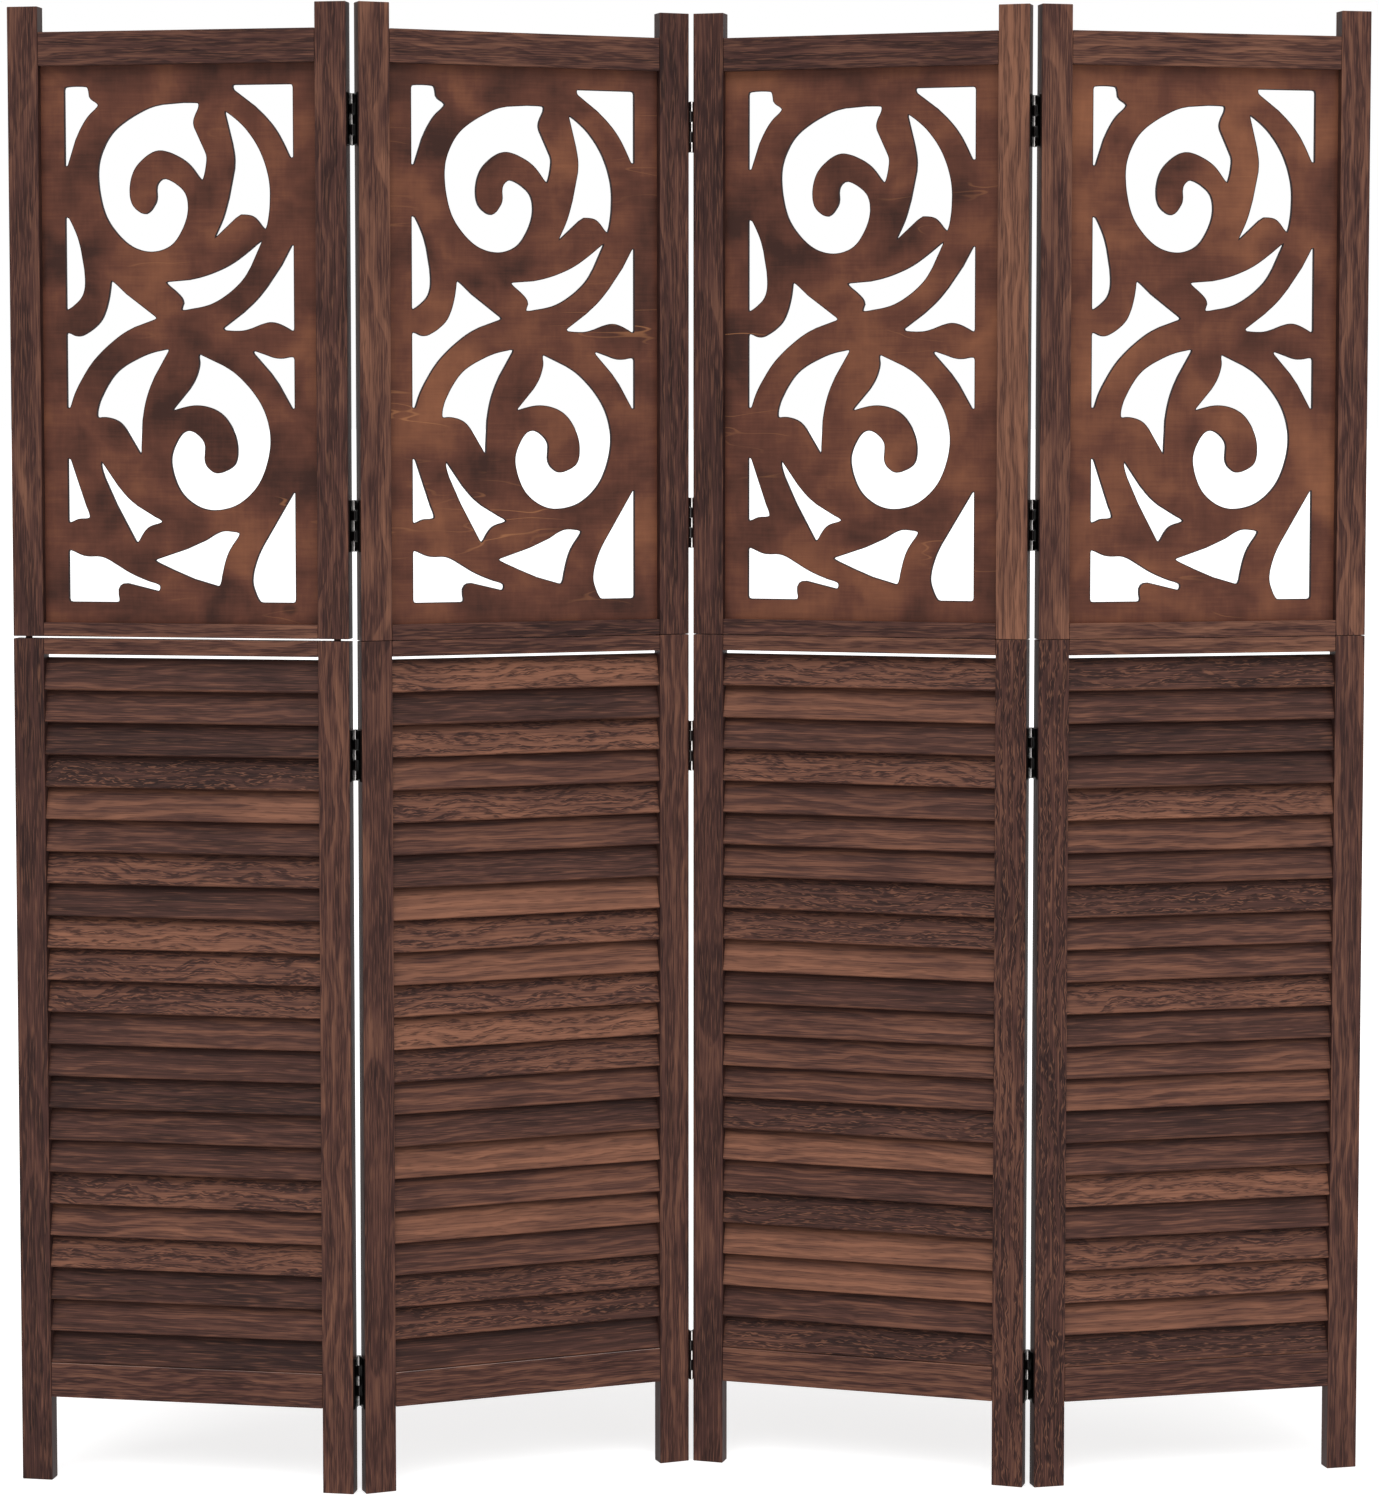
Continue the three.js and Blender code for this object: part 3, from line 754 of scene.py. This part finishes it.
def upperFrames(number):
    size, stile, deep = screen["panelWidth"], screen["stileWidth"], screen["frameDepth"]
    bottom = screen["lowerTop"] + screen["seamGaps"][number - 1]
    groove = screen["sheetLow"] - screen["grooveDepth"], screen["sheetTop"] + screen["grooveDepth"]
    for side, left, towards in (("left", 0.0, 1), ("right", size - stile, -1)):
        label = f"upper_{side}_stile"
        piece = block(f"{label}_{number}", (left, 0, bottom), (left + stile, deep, screen["height"]))
        roundEdges(piece, lowerFrame["edge"])
        grooved(piece, 0, towards, groove)
        grainOfBoard(piece, (2, 0, 1), label, number)
        dress(piece, number, frameWood, "frame_wood", f"panel_{number}_upper_stile_{side}")
    low, high = stile + screen["fit"], size - stile - screen["fit"]
    rails = [
        ("sill_rail", bottom, screen["sheetLow"], 1),
        ("top_rail", screen["sheetTop"], screen["topRailTop"], -1),
    ]
    for label, under, over, towards in rails:
        piece = block(f"{label}_{number}", (low, 0, under), (high, deep, over))
        roundEdges(piece, lowerFrame["edge"])
        grooved(piece, 2, towards)
        grainOfBoard(piece, (0, 2, 1), label, number)
        dress(piece, number, frameWood, "frame_wood", f"panel_{number}_{label}")


for number in panelNumbers:
    upperFrames(number)
print("upper frames built")


# scroll-cut sheets
fretwork = {
    "rim": 0.0009,  # width of the dark line that the saw and the stain leave round each cut-out
    "corner": 26,  # a sharper turn of the outline than this, in degrees, stays a corner
    "straight": 0.024,  # a longer side than this stays straight
    "steps": 4,  # points that a bent stretch gets between two of the outline's own
    "weld": 0.00001,
    "flat": 0.5,  # faces within these degrees of each other count as one
    "smooth": 28,  # shallower turns than this are shaded round
    "tones": (0.44, 0.51, 0.53, 0.61),
    "wear": (0.5, 1.0, 0.6, 0.3),
}


def outlines(piece):
    # the edges of the sheet's front face, each as a ring of points
    mesh = bmesh.new()
    mesh.from_mesh(piece.data)
    mesh.faces.ensure_lookup_table()
    onRim = {}
    for edge in mesh.edges:
        if sum(face.normal.y < -0.95 for face in edge.link_faces) == 1:
            for vertex in edge.verts:
                onRim.setdefault(vertex, []).append(edge)
    rings = []
    while onRim:
        vertex = next(iter(onRim))
        ring = []
        while vertex in onRim:
            ring.append(vertex.co.copy())
            ways = [edge.other_vert(vertex) for edge in onRim.pop(vertex)]
            vertex = next((other for other in ways if other in onRim), ways[0])
        rings.append(ring)
    mesh.free()
    return rings


def drawnSmooth(rings):
    # a flat curve through the rings, bent where the sheet is sawn round and sharp at its corners
    drawing = bpy.data.curves.new("sheetOutline", "CURVE")
    drawing.dimensions = "2D"
    drawing.fill_mode = "BOTH"
    drawing.resolution_u = fretwork["steps"]
    for ring in rings:
        spline = drawing.splines.new("BEZIER")
        spline.bezier_points.add(len(ring) - 1)
        for index, point in enumerate(ring):
            before, after = point - ring[index - 1], ring[(index + 1) % len(ring)] - point
            turn = math.degrees(before.angle(after))
            bent = turn < fretwork["corner"] and max(before.length, after.length) < fretwork["straight"]
            knot = spline.bezier_points[index]
            knot.co = (point.x, point.z, 0)
            knot.handle_left_type = knot.handle_right_type = "AUTO" if bent else "VECTOR"
        spline.use_cyclic_u = True
    return drawing


def scrollSheet(number):
    node = frame["nodes"][f"panel_{number}_fretwork"]
    solid = bpy.data.objects.new("solidSheet", node.data.copy())
    bpy.context.scene.collection.objects.link(solid)
    only(solid)
    bpy.ops.object.mode_set(mode="EDIT")
    bpy.ops.mesh.select_all(action="SELECT")
    bpy.ops.mesh.remove_doubles(threshold=fretwork["weld"])
    bpy.ops.mesh.dissolve_limited(angle_limit=math.radians(fretwork["flat"]))
    bpy.ops.object.mode_set(mode="OBJECT")
    solid.data.transform(panelMatrix(number).inverted())
    depths = [vertex.co.y for vertex in solid.data.vertices]
    middle, half = (max(depths) + min(depths)) / 2, (max(depths) - min(depths)) / 2
    drawing = drawnSmooth(outlines(solid))
    drawing.extrude = half
    piece = bpy.data.objects.new(f"scroll_sheet_{number}", drawing)
    bpy.context.scene.collection.objects.link(piece)
    only(piece)
    bpy.ops.object.convert(target="MESH")
    piece = bpy.context.object
    upright = Matrix.Rotation(math.radians(90), 4, "X")
    piece.data.transform(Matrix.Translation((0, middle, 0)) @ upright)
    bpy.data.objects.remove(solid)
    only(piece)
    bpy.ops.object.mode_set(mode="EDIT")
    bpy.ops.mesh.select_all(action="SELECT")
    bpy.ops.mesh.remove_doubles(threshold=fretwork["weld"])
    bpy.ops.mesh.normals_make_consistent(inside=False)
    bpy.ops.object.mode_set(mode="OBJECT")
    # the two faces, rid of slivers before the rim is drawn in
    editFaces(piece, lambda centre, normal: abs(centre[1] - middle) > 0.99 * half)
    bpy.ops.mesh.beautify_fill(angle_limit=math.radians(180))
    bpy.ops.mesh.inset(thickness=fretwork["rim"], use_even_offset=True)
    bpy.ops.object.mode_set(mode="OBJECT")
    flat = [face.select for face in piece.data.polygons]
    layGrain(piece, (0, 2, 1), fretwork["tones"][number - 1], fretwork["wear"][number - 1])
    dress(piece, number, fretworkPly, "fretwork_ply", f"panel_{number}_fretwork")
    piece.data.materials.append(sawnPly)
    for face, kept in zip(piece.data.polygons, flat):
        face.material_index = 0 if kept else 1
    only(piece)
    bpy.ops.object.shade_smooth_by_angle(angle=math.radians(fretwork["smooth"]))


for number in panelNumbers:
    scrollSheet(number)
print("scroll sheets built")


# hinges
hinge = {
    "height": 0.0585,
    "knuckles": 5,
    "knuckleRadius": 0.0024,
    "knuckleGap": 0.0004,
    "leafWidth": 0.017,
    "leafThickness": 0.001,
    "relief": 0.0032,  # from the pin's axis to where the plain leaf ends
    "tabEnd": 0.0002,  # from the pin's axis to where a tab ends, inside its barrel
    "seat": 0.0003,  # between the leaf and its board
    "plateEdge": 0.0002,
    "barrelEdge": 0.00025,
    "pinRadius": 0.0011,
    "pinOver": 0.0004,  # how much longer the pin is than the leaf
    "pinEdge": 0.0003,
    "screwRadius": 0.0026,
    "screwHeight": 0.0007,
    "screwEdge": 0.0003,
    "screwSunk": 0.00025,  # middle of the head under the leaf's face, so that facing heads never touch
    "screwLine": 0.0105,  # from the board's hinge side to the row of screws
    "slot": (0.003, 0.0006),  # the cross recess, long and wide
    "slotCutter": (0.0001, 0.001),  # where its cutter starts and ends, from the middle of the head
    "smooth": 35,
    # how brightly each kind of part is rubbed, and on the barrels how bright their painted highlight line
    # is
    "wear": {"plate": 0.0, "barrel": 1.0, "otherBarrel": 0.05, "pin": 0.3, "screw": 0.0},
    "highlightLine": 0.97,  # how squarely a barrel's face looks forward or back to lie on the painted highlight line
    "screwRows": (-0.0195, 0.0, 0.0195),
    "middles": {"top": 1.5695, "upper": 1.1112, "lower": 0.8502, "bottom": 0.1275},
}


def markRubAndHighlight(piece, amount, line=False):
    # how brightly each face is rubbed; on a barrel only a narrow line down its front and its back, a
    # painted highlight
    rubAndHighlight = piece.data.attributes.new("rubAndHighlight", "FLOAT", "FACE")
    for face in piece.data.polygons:
        rubAndHighlight.data[face.index].value = amount if not line or abs(face.normal.y) > hinge["highlightLine"] else 0.0


def screwHead(place):
    # a flat countersunk head with a cross recess
    head = rod(hinge["screwRadius"], hinge["screwHeight"], (0, 0, 0), hinge["screwEdge"], 24)
    long, wide = (size / 2 for size in hinge["slot"])
    low, high = hinge["slotCutter"]
    for turn in (0, 90):
        bar = block("slot", (-long, -wide, low), (long, wide, high))
        bar.data.transform(Matrix.Rotation(math.radians(turn), 4, "Z"))
        only(head)
        cut = head.modifiers.new("slotCut", "BOOLEAN")
        cut.object = bar
        cut.operation = "DIFFERENCE"
        bpy.ops.object.modifier_apply(modifier=cut.name)
        bpy.data.objects.remove(bar)
    head.data.transform(Matrix.Translation(place) @ Matrix.Rotation(math.radians(-90), 4, "Y"))
    markRubAndHighlight(head, hinge["wear"]["screw"])
    return head


def hingeLeaf(withPin):
    # drawn closed with the pin on Z, the panel towards +X and its hinge side at Y = -pinStandoff
    seat = screen["panelGap"] / 2 - hinge["seat"]
    half, pitch, gap = hinge["height"] / 2, hinge["height"] / hinge["knuckles"], hinge["knuckleGap"] / 2
    far = -screen["pinStandoff"] - hinge["leafWidth"]
    plate = block("plate", (seat - hinge["leafThickness"], far, -half), (seat, -hinge["relief"], half))
    # the pin's own leaf has every second knuckle from the end, and the other leaf the ones between
    own = [count for count in range(hinge["knuckles"]) if (count % 2 == 0) == withPin]
    for count in own:
        low, high = -half + count * pitch, -half + (count + 1) * pitch
        cutAcross(plate, [(0, 0, low + gap), (0, 0, high - gap)], (0, 0, 1))

    def ownTab(centre, normal):
        count = int((centre[2] + half) / pitch)
        inside = gap < (centre[2] + half) - count * pitch < pitch - gap
        return normal[1] > 0.9 and inside and count in own

    push(plate, ownTab, (0, hinge["relief"] - hinge["tabEnd"], 0))
    roundEdges(plate, hinge["plateEdge"], 2, 40)
    markRubAndHighlight(plate, hinge["wear"]["plate"])
    pieces = [plate]
    for count in own:
        middle = (0, 0, -half + (count + 0.5) * pitch)
        barrel = rod(hinge["knuckleRadius"], pitch - 2 * gap, middle, hinge["barrelEdge"])
        markRubAndHighlight(barrel, hinge["wear"]["barrel" if withPin else "otherBarrel"], line=True)
        pieces.append(barrel)
    if withPin:
        pin = rod(hinge["pinRadius"], hinge["height"] + hinge["pinOver"], (0, 0, 0), hinge["pinEdge"], 20)
        markRubAndHighlight(pin, hinge["wear"]["pin"])
        pieces.append(pin)
    side = seat - hinge["leafThickness"] + hinge["screwSunk"]
    for row in hinge["screwRows"]:
        pieces.append(screwHead(Vector((side, -screen["pinStandoff"] - hinge["screwLine"], row))))
    leaf = joinAll(pieces, "leaf")
    bpy.ops.object.shade_smooth_by_angle(angle=math.radians(hinge["smooth"]))
    return leaf


def hangHinges():
    shapes = {True: hingeLeaf(True), False: hingeLeaf(False)}
    wide, deep = screen["panelWidth"], screen["frameDepth"]
    gap, stand = screen["panelGap"], screen["pinStandoff"]
    for first in (1, 2, 3):
        behind = first != 2
        for number, rightEdge in ((first, True), (first + 1, False)):
            kind = "pin_leaf" if rightEdge else "leaf"
            if rightEdge:
                turn = Matrix.Rotation(math.pi, 4, "Y" if behind else "Z")
            else:
                turn = Matrix.Identity(4) if behind else Matrix.Rotation(math.pi, 4, "X")
            across = wide + gap / 2 if rightEdge else -gap / 2
            for place, height in hinge["middles"].items():
                leaf = copyOf(shapes[rightEdge], f"hinge_{first}_{first + 1}_{place}_{kind}_dressed")
                spot = Vector((across, deep + stand if behind else -stand, height))
                leaf.data.transform(Matrix.Translation(spot) @ turn)
                dress(leaf, number, hingeSteel, "hinge_metal", f"hinge_{first}_{first + 1}_{place}_{kind}")
    for shape in shapes.values():
        bpy.data.objects.remove(shape)


hangHinges()
print("hinges hung")


# floor, light and camera
studio = {
    "worldLight": 0.35,  # on the object; the camera, mirrors and glass see 1, which is white
    "floorSize": 400,
    "floorGrey": 0.8,
    "floorRoughness": 0.9,
    "floorShine": 0.5,  # what lifts the floor to white where it is seen
    "lampDistance": 3,
    "suns": [
        {"name": "highSun", "from": (-0.25, -1.0, 1.35), "width": 45, "strength": 1.6},
        {"name": "rightSun", "from": (0.9, -1.0, 1.1), "width": 45, "strength": 0.6},
        {"name": "backSun", "from": (0.2, 1.0, 1.1), "width": 60, "strength": 0.8},
    ],
}


def seenDirectly(tree):
    # 1 for what the camera, mirrors and glass see
    path = tree.nodes.new("ShaderNodeLightPath")
    seen = maths(tree, "MAXIMUM", path.outputs["Is Camera Ray"], path.outputs["Is Glossy Ray"])
    return maths(tree, "MAXIMUM", seen, path.outputs["Is Transmission Ray"])


def studioFloor():
    bpy.ops.mesh.primitive_plane_add(size=studio["floorSize"], location=(0, 0, 0))
    floor = bpy.context.object
    floor.name = "studio_floor"
    material, tree, shader = surface("paleFloor")
    shader.inputs["Base Color"].default_value = (*[studio["floorGrey"]] * 3, 1)
    shader.inputs["Roughness"].default_value = studio["floorRoughness"]
    shader.inputs["Specular IOR Level"].default_value = 0.0
    shader.inputs["Emission Color"].default_value = (1, 1, 1, 1)
    lift = both(tree, seenDirectly(tree), studio["floorShine"])
    tree.links.new(lift, shader.inputs["Emission Strength"])
    floor.data.materials.append(material)


def studioWorld():
    world = bpy.data.worlds.new("studioWorld")
    bpy.context.scene.world = world
    world.use_nodes = True
    tree = world.node_tree
    backdrop = tree.nodes["Background"]
    backdrop.inputs["Color"].default_value = (1, 1, 1, 1)
    light = studio["worldLight"]
    strength = maths(tree, "MULTIPLY_ADD", seenDirectly(tree), 1 - light, light)
    tree.links.new(strength, backdrop.inputs["Strength"])


def studioLamps():
    # very wide suns, so that the light is as soft as softboxes give and even over the whole floor
    for lamp in studio["suns"]:
        light = bpy.data.lights.new(lamp["name"], "SUN")
        light.angle = math.radians(lamp["width"])
        light.energy = lamp["strength"]
        holder = bpy.data.objects.new(lamp["name"], light)
        holder.location = Vector(lamp["from"]) * studio["lampDistance"]
        holder.rotation_euler = Vector(lamp["from"]).to_track_quat("Z", "Y").to_euler()
        bpy.context.scene.collection.objects.link(holder)


camera = {
    "place": (-0.00408, -4.4439, 1.24785),
    "pitchDown": 3.6255,
    "sensor": 36,
    "lens": 92.7,  # on a sensor whose 36 mm are the picture's height
    "shiftDown": 0.0667,
    "reach": 200,
}


def studioCamera():
    view = bpy.data.cameras.new("pictureCamera")
    view.sensor_width = camera["sensor"]
    view.lens = camera["lens"]
    view.shift_y = -camera["shiftDown"]
    view.clip_end = camera["reach"]
    holder = bpy.data.objects.new("pictureCamera", view)
    holder.location = camera["place"]
    holder.rotation_euler = (math.radians(90 - camera["pitchDown"]), 0, 0)
    bpy.context.scene.collection.objects.link(holder)
    bpy.context.scene.camera = holder


studioFloor()
studioWorld()
studioLamps()
studioCamera()
bpy.context.scene.view_settings.view_transform = "Standard"
print("studio set")

bpy.context.view_layer.update()
